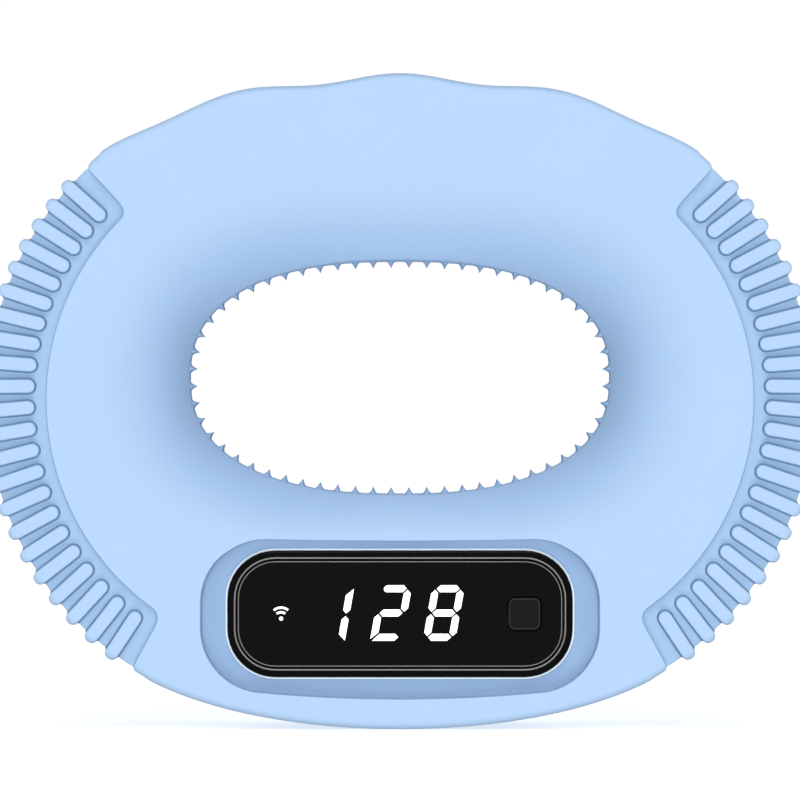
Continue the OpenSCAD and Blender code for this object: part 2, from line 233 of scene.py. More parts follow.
def outline(w, h, r, grow=0.0, cx=0.0, cz=0.0, seg=10, flat=6):
    """A rounded rectangle as a closed loop, with the same number of points whatever its size."""
    half_w = w / 2 + grow
    half_h = h / 2 + grow
    r = max(r + grow, 0.01)
    pts = []
    for qx, qz, start in ((1, 1, 0), (-1, 1, 90), (-1, -1, 180), (1, -1, 270)):
        ox = qx * (half_w - r)
        oz = qz * (half_h - r)
        arc = [(ox + r * math.cos(t), oz + r * math.sin(t)) for t in quarter(start, seg)]
        if pts:
            pts += between(pts[-1], arc[0], flat)
        pts += arc
    pts += between(pts[-1], pts[0], flat)
    return [(x + cx, z + cz) for x, z in pts]


def module_loop(grow):
    return outline(MOD_W, MOD_H, MOD_R, grow, 0, MOD_Z)


def loft(loops, closed=False):
    """Joins loops of (x, z) at depths y. Closed joins the last loop to the first, without caps."""
    n = len(loops[0][0])
    verts = [(x, y, z) for pts, y in loops for x, z in pts]
    faces = grid_faces(len(loops), n, wrap_rows=closed, wrap_cols=True)
    if not closed:
        faces.append(tuple(range(n)))
        faces.append(tuple(range((len(loops) - 1) * n, len(loops) * n)))
    return verts, faces


def cut_out(obj, loops, mat):
    """Cuts a lofted solid out of the ring. The cut faces take the silicone of that index."""
    verts, faces = loft(loops)
    cutter = make("cutter", verts, faces, SILICONE, [mat] * len(faces))
    modifier = obj.modifiers.new("cut", "BOOLEAN")
    modifier.operation = "DIFFERENCE"
    modifier.solver = "EXACT"
    modifier.object = cutter
    depsgraph = bpy.context.evaluated_depsgraph_get()
    mesh = bpy.data.meshes.new_from_object(obj.evaluated_get(depsgraph))
    obj.modifiers.clear()
    obj.data = mesh
    bpy.data.objects.remove(cutter)


# ---------------------------------------------------------------- materials
def principled(name, colour, rough, spec=0.5, metal=0.0, emit=None, strength=0.0,
               noise=0.0, scale=400.0, bump=0.0, bump_scale=2500.0, rough_var=0.0):
    """A Principled material whose colour, gloss and relief vary with a fine procedural grain."""
    material = bpy.data.materials.new(name)
    material.use_nodes = True
    nodes = material.node_tree.nodes
    links = material.node_tree.links
    nodes.clear()
    out = nodes.new("ShaderNodeOutputMaterial")
    shader = nodes.new("ShaderNodeBsdfPrincipled")
    links.new(shader.outputs[0], out.inputs[0])
    shader.inputs["Base Color"].default_value = (*colour, 1)
    shader.inputs["Roughness"].default_value = rough
    shader.inputs["Specular IOR Level"].default_value = spec
    shader.inputs["Metallic"].default_value = metal
    if emit:
        shader.inputs["Emission Color"].default_value = (*emit, 1)
        shader.inputs["Emission Strength"].default_value = strength
    place = nodes.new("ShaderNodeTexCoord")
    if noise or rough_var:
        grain = nodes.new("ShaderNodeTexNoise")
        grain.inputs["Scale"].default_value = scale
        grain.inputs["Detail"].default_value = 3
        links.new(place.outputs["Object"], grain.inputs["Vector"])
    if noise:
        mix = nodes.new("ShaderNodeMix")
        mix.data_type = "RGBA"
        mix.inputs["A"].default_value = (*[c * (1 - noise) for c in colour], 1)
        mix.inputs["B"].default_value = (*[min(1, c * (1 + noise)) for c in colour], 1)
        links.new(grain.outputs["Fac"], mix.inputs["Factor"])
        links.new(mix.outputs["Result"], shader.inputs["Base Color"])
    if rough_var:
        gloss_range = nodes.new("ShaderNodeMapRange")
        gloss_range.inputs["To Min"].default_value = rough - rough_var
        gloss_range.inputs["To Max"].default_value = rough + rough_var
        links.new(grain.outputs["Fac"], gloss_range.inputs["Value"])
        links.new(gloss_range.outputs["Result"], shader.inputs["Roughness"])
    if bump:
        relief = nodes.new("ShaderNodeTexNoise")
        relief.inputs["Scale"].default_value = bump_scale
        relief.inputs["Detail"].default_value = 2
        lift = nodes.new("ShaderNodeBump")
        lift.inputs["Strength"].default_value = bump
        lift.inputs["Distance"].default_value = 0.00005
        links.new(place.outputs["Object"], relief.inputs["Vector"])
        links.new(relief.outputs["Fac"], lift.inputs["Height"])
        links.new(lift.outputs["Normal"], shader.inputs["Normal"])
    return material


def silicone(name, colour):
    return principled(name, colour, 0.5, spec=0.35, noise=0.012, scale=90.0, bump=0.25,
                      bump_scale=3200.0, rough_var=0.04)


# The silicone is one blue; darker copies of it paint shade into its hollows: the recess floors and teeth,
# the dish and the ribs' feet
SILICONE = [
    silicone("silicone_skin", (0.397, 0.564, 0.80)),
    silicone("silicone_band_painted_shade", (0.325, 0.487, 0.70)),
    silicone("silicone_dish_painted_shade", (0.262, 0.395, 0.605)),
    silicone("silicone_rib_foot_painted_shade", (0.175, 0.3, 0.49)),
]
SKIN, BAND_SHADE, DISH_SHADE, FOOT_SHADE = range(4)  # their places in the list

# A pale silicone for the seal round the module: a painted highlight along its edge.
SEAL_HIGHLIGHT = principled("seal_pale", (0.78, 0.88, 0.96), 0.4, noise=0.01, scale=200, bump=0.1)
BEZEL_GLOSS = principled(
    "bezel_gloss", (0.0032, 0.0036, 0.0036), 0.12, spec=0.07, noise=0.05, scale=60, rough_var=0.02)
SMOKED_GLASS = principled(
    "window_smoked", (0.005, 0.005, 0.0051), 0.07, spec=0.06, noise=0.04, scale=60, rough_var=0.015)
# Grey for the two thin lines round the window: painted highlights on the bezel's bevels.
BEVEL_HIGHLIGHT_GREY = principled(
    "bevel_painted_highlight", (0.23, 0.226, 0.22), 0.32, noise=0.04, scale=300, rough_var=0.04)
LIT_WHITE = principled(
    "digit_white", (0.9, 0.9, 0.9), 0.5, noise=0.03, scale=700, rough_var=0.05,
    emit=(1, 1, 1), strength=0.95)
BUTTON_GLOSS = principled(
    "button_gloss", (0.0095, 0.0095, 0.0095), 0.2, spec=0.1, noise=0.04, scale=80, rough_var=0.03)
# A lighter black for the cap's rim: a painted highlight round its front edge.
BUTTON_RIM_HIGHLIGHT = principled(
    "button_rim_painted_highlight", (0.028, 0.028, 0.028), 0.3, spec=0.15, noise=0.04, scale=80, rough_var=0.03)

CAD_LOOKS = {
    "module_rear_shell": principled(
        "shell_matt", (0.02, 0.02, 0.022), 0.55, noise=0.08, scale=600, bump=0.4),
    "module_screws": principled(
        "screw_steel", (0.55, 0.56, 0.58), 0.3, metal=1.0, noise=0.05, scale=500, rough_var=0.06),
    "display_window": SMOKED_GLASS,
    "display_mask": principled(
        "mask_film", (0.012, 0.012, 0.012), 0.6, noise=0.05, scale=400, rough_var=0.05),
    "led_reflector": principled(
        "reflector_white", (0.82, 0.82, 0.8), 0.45, noise=0.03, scale=300, bump=0.2),
    "led_chips": principled(
        "led_ceramic", (0.75, 0.68, 0.5), 0.4, noise=0.05, scale=800, rough_var=0.05),
    "circuit_board": principled(
        "board_mask", (0.03, 0.2, 0.09), 0.3, noise=0.12, scale=260, bump=0.3, bump_scale=900),
    "control_chip": principled(
        "chip_resin", (0.025, 0.025, 0.027), 0.5, noise=0.1, scale=900, bump=0.3),
    "radio_antenna": principled(
        "antenna_ceramic", (0.7, 0.68, 0.62), 0.45, noise=0.05, scale=700, rough_var=0.05),
    "clock_crystal": principled(
        "crystal_can", (0.62, 0.61, 0.58), 0.28, metal=1.0, noise=0.04, scale=500, rough_var=0.05),
    "chip_resistors": principled(
        "resistor_body", (0.05, 0.05, 0.055), 0.4, noise=0.1, scale=900, rough_var=0.05),
    "force_sensor_strip": principled(
        "sensor_film", (0.5, 0.28, 0.05), 0.3, noise=0.08, scale=350, rough_var=0.05),
    "battery_cell": principled(
        "battery_foil", (0.68, 0.69, 0.7), 0.35, metal=0.9, noise=0.05, scale=300, bump=0.3,
        bump_scale=700),
    "battery_pad": principled(
        "pad_foam", (0.05, 0.05, 0.055), 0.9, noise=0.2, scale=1500, bump=0.8, bump_scale=1800),
    "battery_leads": principled(
        "lead_sleeve", (0.55, 0.04, 0.03), 0.4, noise=0.06, scale=600, rough_var=0.05),
    "usb_c_shell": principled(
        "connector_plate", (0.6, 0.61, 0.63), 0.25, metal=1.0, noise=0.04, scale=500,
        rough_var=0.05),
    "usb_c_insert": principled(
        "connector_resin", (0.02, 0.02, 0.022), 0.45, noise=0.08, scale=800, bump=0.2),
    "switch_base": principled(
        "switch_resin", (0.03, 0.03, 0.032), 0.45, noise=0.08, scale=800, bump=0.2),
    "switch_plunger": principled(
        "plunger_steel", (0.55, 0.56, 0.58), 0.3, metal=1.0, noise=0.05, scale=500,
        rough_var=0.06),
}
for node_name, look in CAD_LOOKS.items():
    for material_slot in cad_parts[node_name].material_slots:
        material_slot.material = look


# ---------------------------------------------------------------- the ring's outline and sections
def crown(x):
    """Height of the finger side."""
    arch = CROWN_BASE + CROWN_RISE * math.sqrt(1 - (x / CROWN_HALF) ** 2)
    return arch + WAVE * math.cos(2 * math.pi * x / WAVE_PITCH)


def palm(x):
    """Height of the palm side."""
    return PALM_RISE * (1 - math.sqrt(1 - (x / PALM_HALF) ** 2))


def reach(angle, r):
    """Distance from the aim point, along an angle, to radius r about the side centre."""
    ex = AIM_X - SIDE_X
    ez = AIM_Z - SIDE_Z
    along = ex * math.cos(angle) + ez * math.sin(angle)
    return math.sqrt(along * along - ex * ex - ez * ez + r * r) - along


def first_root(f, low, high):
    """Where f turns positive between two distances."""
    for _ in range(50):
        mid = (low + high) / 2
        if f(mid) > 0:
            high = mid
        else:
            low = mid
    return (low + high) / 2


def on_ray(angle, s):
    return AIM_X + s * math.cos(angle), AIM_Z + s * math.sin(angle)


def hole_hit(angle):
    """Distance from the aim point, along an angle, to the wall of the hole."""
    def beyond(s):
        x, z = on_ray(angle, s)
        return abs(x / HOLE_A) ** HOLE_N + abs((z - HOLE_Z) / HOLE_B) ** HOLE_N - 1
    return first_root(beyond, 0, 40)


def hole_point(t):
    """A point of the hole's wall, by its own turning angle."""
    c = math.cos(t)
    s = math.sin(t)
    x = math.copysign(HOLE_A * abs(c) ** (2 / HOLE_N), c)
    return x, HOLE_Z + math.copysign(HOLE_B * abs(s) ** (2 / HOLE_N), s)


def hole_turn(p):
    """The turning angle of a point on the hole's wall."""
    x = p[0] / HOLE_A
    z = (p[1] - HOLE_Z) / HOLE_B
    return math.atan2(math.copysign(abs(z) ** (HOLE_N / 2), z), math.copysign(abs(x) ** (HOLE_N / 2), x))


def soft_min(a, b, width):
    """The smaller of two distances, rounded over a width where they cross."""
    h = max(width - abs(a - b), 0) / width
    return min(a, b) - h * h * width / 4


def outer_hit(angle, in_recess):
    """Distance from the aim point, along an angle, to the ring's outer edge on one side."""
    def above_crown(s):
        x, z = on_ray(angle, s)
        return z - crown(x)

    def below_palm(s):
        x, z = on_ray(angle, s)
        return palm(x) - z

    far = reach(angle, SHOULDER)
    if in_recess:
        return far
    if angle > 0:
        far = min(far, (CORNER_TOP - AIM_X) / math.cos(angle))
        return soft_min(far, first_root(above_crown, 20, 37), SOFT_TOP)
    far = min(far, (CORNER_LOW - AIM_X) / math.cos(angle))
    return soft_min(far, first_root(below_palm, 20, 40), SOFT_LOW)


def resample(points, count):
    """The same path in evenly spaced points."""
    p = np.array(points)
    run = np.concatenate([[0], np.cumsum(np.linalg.norm(np.diff(p, axis=0), axis=1))])
    t = np.linspace(0, run[-1], count)
    return np.stack([np.interp(t, run, p[:, 0]), np.interp(t, run, p[:, 1])], axis=1)


class Station:
    """One section through the ring, from the hole's wall to the outer edge."""

    def __init__(self, inner, outer, edge, sunk=0.0, lift=RECESS_CORNER):
        self.inner = np.array(inner, float)
        self.outer = np.array(outer, float)
        self.edge = edge      # distance from the outer edge in to the recess's edge
        self.sunk = sunk      # 1 where the section runs through the recess
        self.lift = lift      # rounds the recess's inner corners

    def mirrored(self):
        flip = np.array([-1, 1])
        return Station(self.inner * flip, self.outer * flip, self.edge, self.sunk, self.lift)


def corner_lift(into):
    """How far the recess's inner edge moves out at a distance into the recess from its end."""
    left = RECESS_CORNER - min(max(into, 0), RECESS_CORNER)
    return RECESS_CORNER - math.sqrt(max(RECESS_CORNER ** 2 - left * left, 0))


def side_stations():
    """The stations of the right flank, from the lower joint up to the upper joint."""
    low_end = math.radians(-63.6)
    top_end = math.radians(50.6)
    recess_low = math.radians(RECESS_LOW)
    recess_top = math.radians(RECESS_TOP)
    rows = []
    for sign, start in ((1, recess_low), (-1, recess_top)):
        rows += [(start + sign * d * TURN_PER_MM, sunk, corner_lift(d)) for d, sunk in END_STEP]
    a = recess_low + RECESS_CORNER * TURN_PER_MM
    b = recess_top - RECESS_CORNER * TURN_PER_MM
    rows += [(a + (b - a) * k / RECESS_STEPS, 1, 0) for k in range(1, RECESS_STEPS)]
    beyond = END_STEP[0][0] * TURN_PER_MM
    for end, start, steps in ((low_end, recess_low + beyond, 6), (top_end, recess_top - beyond, 8)):
        rows += [(end + (start - end) * k / steps, 0, RECESS_CORNER) for k in range(steps)]
    aim = np.array([AIM_X, AIM_Z])
    out = []
    for angle, sunk, lift in sorted(rows):
        d = np.array([math.cos(angle), math.sin(angle)])
        far = outer_hit(angle, sunk == 1)
        edge = far - reach(angle, RECESS_IN)
        out.append(Station(aim + d * hole_hit(angle), aim + d * far, edge, sunk, lift))
    return out


def joining_stations(first, last, middle, curve, samples, count):
    """Stations between two flanks, past the middle angle, along a curve of the outline."""
    turn = hole_turn(first.inner) % (2 * math.pi)
    inner = resample([hole_point(t) for t in np.linspace(turn, 2 * middle - turn, 401)], count)
    inset = math.copysign(0.02, first.outer[0])
    xs = np.linspace(first.outer[0] - inset, last.outer[0] + inset, samples)
    outer = resample([tuple(first.outer)] + [(x, curve(x)) for x in xs] + [tuple(last.outer)], count)
    return [Station(inner[k], outer[k], first.edge) for k in range(1, count - 1)]


def ring_stations():
    right = side_stations()
    left = [station.mirrored() for station in reversed(right)]
    top = joining_stations(right[-1], left[0], math.pi / 2, crown, samples=500, count=118)
    low = joining_stations(left[-1], right[0], 3 * math.pi / 2, palm, samples=400, count=84)
    return right + top + left + low


def by_direction(u, values):
    """Blends the values at the hole's sides, above it and below it for a direction from its middle."""
    sides, above, below = values
    return sides * math.cos(u) ** 2 + (above if math.sin(u) > 0 else below) * math.sin(u) ** 2


def hole_rounding(u):
    """Points from the wall of the hole out to the face: distance from the wall and depth."""
    w = by_direction(u, ROUNDING)
    slope = math.radians(by_direction(u, SLOPE))
    turn = math.pi / 2 - slope
    run = LIP * math.tan(turn / 2)
    corner = HALF + w / slope * math.log(math.cos(slope))
    pts = [(0, 0), (0, (run - corner) / 2)]
    for k in range(LIP_STEPS + 1):
        t = turn * k / LIP_STEPS
        pts.append((LIP * (1 - math.cos(t)), run - corner - LIP * math.sin(t)))
    first = pts[-1][0]
    for k in range(1, ROUNDING_STEPS + 1):
        s = first + (w - first) * k / ROUNDING_STEPS
        pts.append((s, -HALF - w / slope * math.log(math.cos(slope * (1 - s / w)))))
    return pts


def section(station):
    """Front half of a section: distance from the hole's wall and depth."""
    length = float(np.linalg.norm(station.outer - station.inner))
    deep = RECESS_DEEP * station.sunk
    rim = RECESS_RIM * station.sunk
    edge = length - station.edge + station.lift
    pts = hole_rounding(math.atan2(station.inner[1] - HOLE_Z, station.inner[0]))
    w = pts[-1][0]
    pts += [(w + (edge + STEP_DOWN[0][0] - w) * part, -HALF) for part in FACE_PARTS]
    pts += [(edge + d, -HALF + part * deep) for d, part in STEP_DOWN]
    floor_start = pts[-1][0]
    stop = length - EDGE
    pts += [(floor_start + (stop - floor_start) * part, -HALF + deep) for part in FLOOR_PARTS]
    for t in quarter(0, 6):
        pts.append((stop + (EDGE - rim) * math.sin(t), EDGE - HALF - (EDGE - deep) * math.cos(t)))
    pts += [(length - rim, y) for y in MID_DEPTHS]
    return pts


def ring_mesh():
    """The ring's skin, before the dish, the pocket and the port are cut out of it."""
    stations = ring_stations()
    verts = []
    for station in stations:
        d = (station.outer - station.inner) / np.linalg.norm(station.outer - station.inner)
        half = section(station)
        full = half + [(s, -y) for s, y in reversed(half[1:-1])]
        verts += [(station.inner[0] + d[0] * s, y, station.inner[1] + d[1] * s) for s, y in full]
    rows = len(stations)
    cols = len(full)
    first = 2 + (LIP_STEPS + 1) + ROUNDING_STEPS + len(FACE_PARTS) + 4  # where the recess begins
    mats = []
    for r in range(rows):
        sunk = sorted((stations[r].sunk, stations[(r + 1) % rows].sunk))
        in_recess = sunk[1] == 1 and sunk[0] > 0.1
        # The recess floor takes the darker blue, painted shade.
        mats += [BAND_SHADE if in_recess and first <= c < cols - first else SKIN for c in range(cols)]
    faces = grid_faces(rows, cols, wrap_rows=True, wrap_cols=True)
    return make("ring_skin", verts, faces, SILICONE, mats, 30)


def dish_loop(grow):
    """The dish round the module: slightly hollow upper edge, bowed lower edge, round ends."""
    steps = 14
    parts = 24
    side = DISH_HALF - DISH_R
    radius = DISH_R + grow

    def upper(x):
        return MOD_Z + DISH_TOP + DISH_TOP_BOW * x * x

    def lower(x):
        return MOD_Z + DISH_LOW + DISH_LOW_BOW * x * x

    def corner(cx, cz, start):
        return [(cx + radius * math.cos(t), cz + radius * math.sin(t)) for t in quarter(start, steps)]

    top = upper(side) - DISH_R
    low = lower(side) + DISH_R
    leftward = [side - 2 * side * k / parts for k in range(1, parts)]
    rightward = [-side + 2 * side * k / parts for k in range(1, parts)]
    pts = corner(side, top, 0)
    pts += [(x, upper(x) + grow) for x in leftward]
    pts += corner(-side, top, 90)
    pts.append((-DISH_HALF - grow, (top + low) / 2))
    pts += corner(-side, low, 180)
    pts += [(x, lower(x) - grow) for x in rightward]
    pts += corner(side, low, 270)
    pts.append((DISH_HALF + grow, (top + low) / 2))
    return pts


def port_loop(grow):
    """The charging recess in the back."""
    return outline(*PORT, grow, 0, MOD_Z)


# Each cut is a stack of loops: how far the outline grows and the depth
DISH_CUT = ((0.16, -16), (0.16, -14.0), (0.10, -13.93), (0.03, -13.84), (0.0, -13.7), (0.0, -12.75),
            (-0.05, -12.65), (-0.18, DISH_Y))
POCKET_CUT = ((0.25, -13.4), (0.25, -11.15), (0.06, -11.15), (0.06, 3.45))
PORT_CUT = ((0.35, 16), (0.35, 14.0), (0.2, 13.93), (0.07, 13.78), (0.0, 13.5), (0.0, 3.2))

ring = ring_mesh()
# The dish and the pocket's walls take the deepest blue, painted shade.
cut_out(ring, [(dish_loop(grow), y) for grow, y in DISH_CUT], DISH_SHADE)
cut_out(ring, [(module_loop(grow), y) for grow, y in POCKET_CUT], DISH_SHADE)
# The charging recess's walls take the band's darker blue, painted shade.
cut_out(ring, [(port_loop(grow), y) for grow, y in PORT_CUT], BAND_SHADE)
ring.data.shade_smooth()
ring.data.set_sharp_from_angle(angle=math.radians(28))


# ---------------------------------------------------------------- ribs
def rib_path(angle):
    """A rib over the front, the edge and the back: distance from the aim point, depth, tilt, rounding."""
    start = reach(angle, RECESS_IN + RIB_INSET)
    tip = reach(angle, RIB_TIP)
    bend = tip - RIB_TURN
    path = [(start + (bend - start) * part, -HALF, 90, RIB_SOFT) for part in (0, 0.33, 0.66)]
    for k, t in enumerate(quarter(0, 6)):
        s = bend + RIB_TURN * math.sin(t)
        y = RIB_TURN - HALF - RIB_TURN * math.cos(t)
        path.append((s, y, 90 - 15 * k, RIB_SOFT + RIB_SOFTER * k / 6))
    path += [(tip, y, 0, RIB_SOFT + RIB_SOFTER) for y in MID_DEPTHS]
    return path + [(s, -y, -tilt, soft) for s, y, tilt, soft in reversed(path[:-1])]


def rib_half_profile(soft):
    """From the middle of a rib's top out to its foot: sideways distance and depth below the top."""
    flat = RIB_HALF - soft
    pts = [(0.0, 0.0), (flat * 0.6, 0.0)]
    pts += [(flat + soft * math.sin(t), soft * (1 - math.cos(t))) for t in quarter(0, 5)]
    pts.append((RIB_HALF + RIB_DRAFT, RIB_FOOT))
    return pts


def add_rib(shape, side, index):
    """One rib, with a half-round end on each face."""
    angle = math.radians(RIB_FIRST - RIB_STEP * index)
    aim = np.array([AIM_X, AIM_Z])
    d = np.array([math.cos(angle), math.sin(angle)])
    across = np.array([-d[1], d[0]])

    def place(row, lateral, down, back=0.0):
        s, y, tilt, _ = row
        t = math.radians(tilt)
        p = aim + d * (s - down * math.cos(t) - back) + across * lateral
        return (side * p[0], y + down * math.sin(t), p[1])

    path = rib_path(angle)
    profiles = [rib_half_profile(row[3]) for row in path]
    half = len(profiles[0])
    cols = 2 * half - 1
    verts = []
    for row, profile in zip(path, profiles):
        verts += [place(row, -a, b) for a, b in reversed(profile)]
        verts += [place(row, a, b) for a, b in profile[1:]]
    faces = grid_faces(len(path), cols, wrap_cols=True)
    # The rib's draft walls and foot take a dark blue: a painted shadow line round each rib.
    mats = [FOOT_SHADE if c in (0, cols - 2, cols - 1) else SKIN for c in range(cols)] * (len(path) - 1)
    for end in (0, len(path) - 1):
        row = path[end]
        centre = end * cols + half - 1
        last = [centre + j for j in range(half)]
        foot = [last[-1]]
        for step in range(1, RIB_END_STEPS + 1):
            if step < RIB_END_STEPS:
                t = math.pi * step / RIB_END_STEPS
                spoke = [centre] + [len(verts) + j for j in range(half - 1)]
                verts += [place(row, a * math.cos(t), b, a * math.sin(t)) for a, b in profiles[end][1:]]
            else:
                spoke = [centre - j for j in range(half)]
            faces.append((centre, last[1], spoke[1]))
            faces += [(last[j], last[j + 1], spoke[j + 1], spoke[j]) for j in range(1, half - 1)]
            mats += [SKIN] * (half - 2) + [FOOT_SHADE]
            foot.append(spoke[-1])
            last = spoke
        faces.append(tuple(foot))
        mats.append(FOOT_SHADE)
    shape.add(verts, faces, mats)


def ribs(name, side):
    shape = Shape()
    for index in range(RIBS):
        add_rib(shape, side, index)
    return shape.make(name, SILICONE, 40)


ribs_right = ribs("ring_ribs_right", 1)
ribs_left = ribs("ring_ribs_left", -1)


# ---------------------------------------------------------------- teeth round the hole
def teeth():
    """Evenly spaced teeth along the hole's wall, whose ends run out into it."""
    half_profile = [(0.03, TOOTH), (0.11, 0.78 * TOOTH), (0.3, 0.32 * TOOTH), (0.57, 0.0), (0.66, -0.2)]
    profile = [(-u, h) for u, h in reversed(half_profile)] + half_profile
    run_out = [(3.0, 0.04), (2.85, 0.3), (2.6, 0.6), (2.3, 0.83), (1.9, 0.96), (1.4, 1)]
    rows = [(-y, part) for y, part in run_out] + [(0, 1)] + run_out[::-1]
    turns = np.linspace(0, 2 * math.pi, 4001)
    x, z = np.array([hole_point(t) for t in turns]).T
    run = np.concatenate([[0], np.cumsum(np.hypot(np.diff(x), np.diff(z)))])
    shape = Shape()
    for i in range(TEETH):
        turn = float(np.interp(run[-1] * (i + 0.5) / TEETH, run, turns))
        px, pz = hole_point(turn)
        ahead = hole_point(turn + 0.004)
        behind = hole_point(turn - 0.004)
        length = math.hypot(ahead[0] - behind[0], ahead[1] - behind[1])
        tx = (ahead[0] - behind[0]) / length
        tz = (ahead[1] - behind[1]) / length
        loops = []
        for y, part in rows:
            heights = [(u, h * part if h > 0 else h) for u, h in profile]
            loops.append(([(px + tx * u - tz * h, pz + tz * u + tx * h) for u, h in heights], y))
        verts, faces = loft(loops)
        # The teeth take the band's darker blue, painted shade along the hole's edge.
        shape.add(verts, faces, BAND_SHADE)
    return shape.make("ring_teeth", SILICONE, 40)


tooth_ring = teeth()
for piece in (ring, ribs_right, ribs_left, tooth_ring):
    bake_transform(piece)
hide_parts("ring_palm_side", "ring_finger_side", "ring_left_wall", "ring_right_wall")


# ---------------------------------------------------------------- the module's face
def frame_piece(name, inner, outer, front, back, r, material):
    """A frame between two growths of the module's outline, its front edges rounded."""
    loops = [(module_loop(outer), back)]
    for t in quarter(0, 4):
        loops.append((module_loop(outer - r + r * math.cos(t)), front + r - r * math.sin(t)))
    for t in quarter(0, 4):
        loops.append((module_loop(inner + r - r * math.sin(t)), front + r - r * math.cos(t)))
    loops.append((module_loop(inner), back))
    verts, faces = loft(loops, closed=True)
    obj = make(name, verts, faces, [material])
    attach(obj, "palm_body")
    return obj


def bezel_frame():
    """The black front frame, with a groove for the grey line, a painted highlight, and two screw posts
    behind it.
    """
    shape = Shape()
    loops = [(module_loop(0), BEZEL_BACK)]
    for t in quarter(0, 5):
        grow = -BEZEL_EDGE + BEZEL_EDGE * math.cos(t)
        loops.append((module_loop(grow), BEZEL_Y + BEZEL_EDGE - BEZEL_EDGE * math.sin(t)))
    for grow, down in ((-0.70, 0), (-0.75, 0.05), (-0.75, 0.2), (-0.97, 0.2), (-0.97, 0.05), (-1.02, 0),
                       (-1.18, 0), (-1.23, 0.05)):
        loops.append((module_loop(grow), BEZEL_Y + down))
    opening = outline(*OPENING, 0, 0, MOD_Z)
    loops += [(module_loop(-1.24), -12.7), (opening, -12.7), (opening, BEZEL_BACK)]
    shape.add(*loft(loops, closed=True))
    for x in (-SCREW_X, SCREW_X):
        post = circle(x, MOD_Z, POST_R, 24)
        shape.add(*loft([(post, BEZEL_BACK + 0.01), (post, -7.6)]))
    return shape.make("bezel_frame", [BEZEL_GLOSS])


# The seal lip is pale: a painted highlight round the module.
seal = frame_piece("seal_lip", 0.0, 0.24, -13.12, -11.2, 0.11, SEAL_HIGHLIGHT)
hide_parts("module_seal")

bezel = bezel_frame()
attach(bezel, "palm_body")
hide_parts("module_front_bezel")

# Two thin grey lines round the window: painted highlights on the bezel's bevels.
frame_piece(
    "bezel_line_outer", -0.95, -0.77, BEZEL_Y - 0.01, BEZEL_Y + 0.19, 0.07, BEVEL_HIGHLIGHT_GREY)
frame_piece(
    "bezel_line_inner", -1.36, -1.25, WINDOW_Y - 0.03, WINDOW_Y + 0.1, 0.04, BEVEL_HIGHLIGHT_GREY)


# ---------------------------------------------------------------- lit digits and icon
def bar_end(kind, l, h, outer):
    """The end of a bar that lies along x, from its lower edge to its upper one."""
    if kind == "corner":
        return [(l - h, -outer * h), (l + 0.8 * h, outer * h)][::outer]
    if kind == "round":
        turns = [math.radians(a) for a in range(-90, 91, 15)]
        return [(l - h + h * math.cos(t), h * math.sin(t)) for t in turns]
    return [(l - h, -h), (l, 0), (l - h, h)]


def bar_shape(length, first, last, outer):
    """A bar along x with its two kinds of end. Outer is 1 where its upper edge faces out of the digit."""
    l = length / 2
    h = BAR / 2
    return bar_end(last, l, h, outer) + [(-x, z) for x, z in reversed(bar_end(first, l, h, outer))]


def add_plate(shape, pts, edge):
    """A thin lit plate with a fine bevel round its front face."""
    p = np.array(pts)
    ahead = np.roll(p, -1, axis=0)
    if np.sum(p[:, 0] * ahead[:, 1] - ahead[:, 0] * p[:, 1]) < 0:
        p = p[::-1]
    step = np.roll(p, -1, axis=0) - p
    normal = np.stack([step[:, 1], -step[:, 0]], axis=1) / np.linalg.norm(step, axis=1, keepdims=True)
    before = np.roll(normal, 1, axis=0)
    offset = (normal + before) / (1 + np.sum(normal * before, axis=1, keepdims=True))
    loop = [tuple(q) for q in p]
    inner = [tuple(q) for q in p - offset * edge]
    shape.add(*loft([(loop, LIT_BACK), (loop, LIT_Y + edge * 0.5), (inner, LIT_Y)]))


def add_digit(shape, cx, cz, lit, corners):
    """Bars a to g. Corners names the ends that aren't pointed, as a bar's letter and 0 or 1."""
    across = DIGIT_W - BAR
    drop = (DIGIT_H - BAR) / 2
    places = {"a": (0, drop, False, 1), "g": (0, 0, False, 1), "d": (0, -drop, False, -1),
              "f": (-across / 2, drop / 2, True, 1), "b": (across / 2, drop / 2, True, -1),
              "e": (-across / 2, -drop / 2, True, 1), "c": (across / 2, -drop / 2, True, -1)}
    for name in lit:
        x, z, upright, outer = places[name]
        ends = [corners.get(name + k, "point") for k in "01"]
        pts = bar_shape((drop if upright else across) - BAR_GAP, *ends, outer)
        if upright:
            pts = [(-b, a) for a, b in pts]
        lean = math.tan(math.radians(LEAN))
        add_plate(shape, [(cx + x + a + (z + b) * lean, cz + z + b) for a, b in pts], 0.05)


def icon_arc(r, angles):
    turns = [math.radians(a) for a in angles]
    return [(ICON_X + r * math.sin(t), ICON_Z + r * math.cos(t)) for t in turns]


shape = Shape()
add_digit(shape, ONE_X, ONE_Z, "bc", {"b1": "corner", "c0": "corner"})
add_digit(shape, DIGIT_X, DIGIT_Z, "abged", {"a0": "round", "e0": "corner", "d0": "corner"})
add_digit(shape, DIGIT_X + DIGIT_PITCH, DIGIT_Z, "abcdefg", {})
digits = shape.make("digit_bars", [LIT_WHITE])
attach(digits, "palm_body")
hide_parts("segment_light_guides")

shape = Shape()
add_plate(shape, circle(ICON_X, ICON_Z, ICON_DOT, 20), 0.03)
for r in ICON_ARCS:
    arc = icon_arc(r + ICON_HALF, range(-41, 42, 5)) + icon_arc(r - ICON_HALF, range(39, -42, -5))
    add_plate(shape, arc, 0.03)
icon = shape.make("wireless_icon", [LIT_WHITE])
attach(icon, "palm_body")
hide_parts("icon_light_guide")


# ---------------------------------------------------------------- button
def cap_loop(grow):
    return outline(BUTTON, BUTTON, BUTTON_R, grow, BUTTON_X, MOD_Z, seg=8, flat=4)


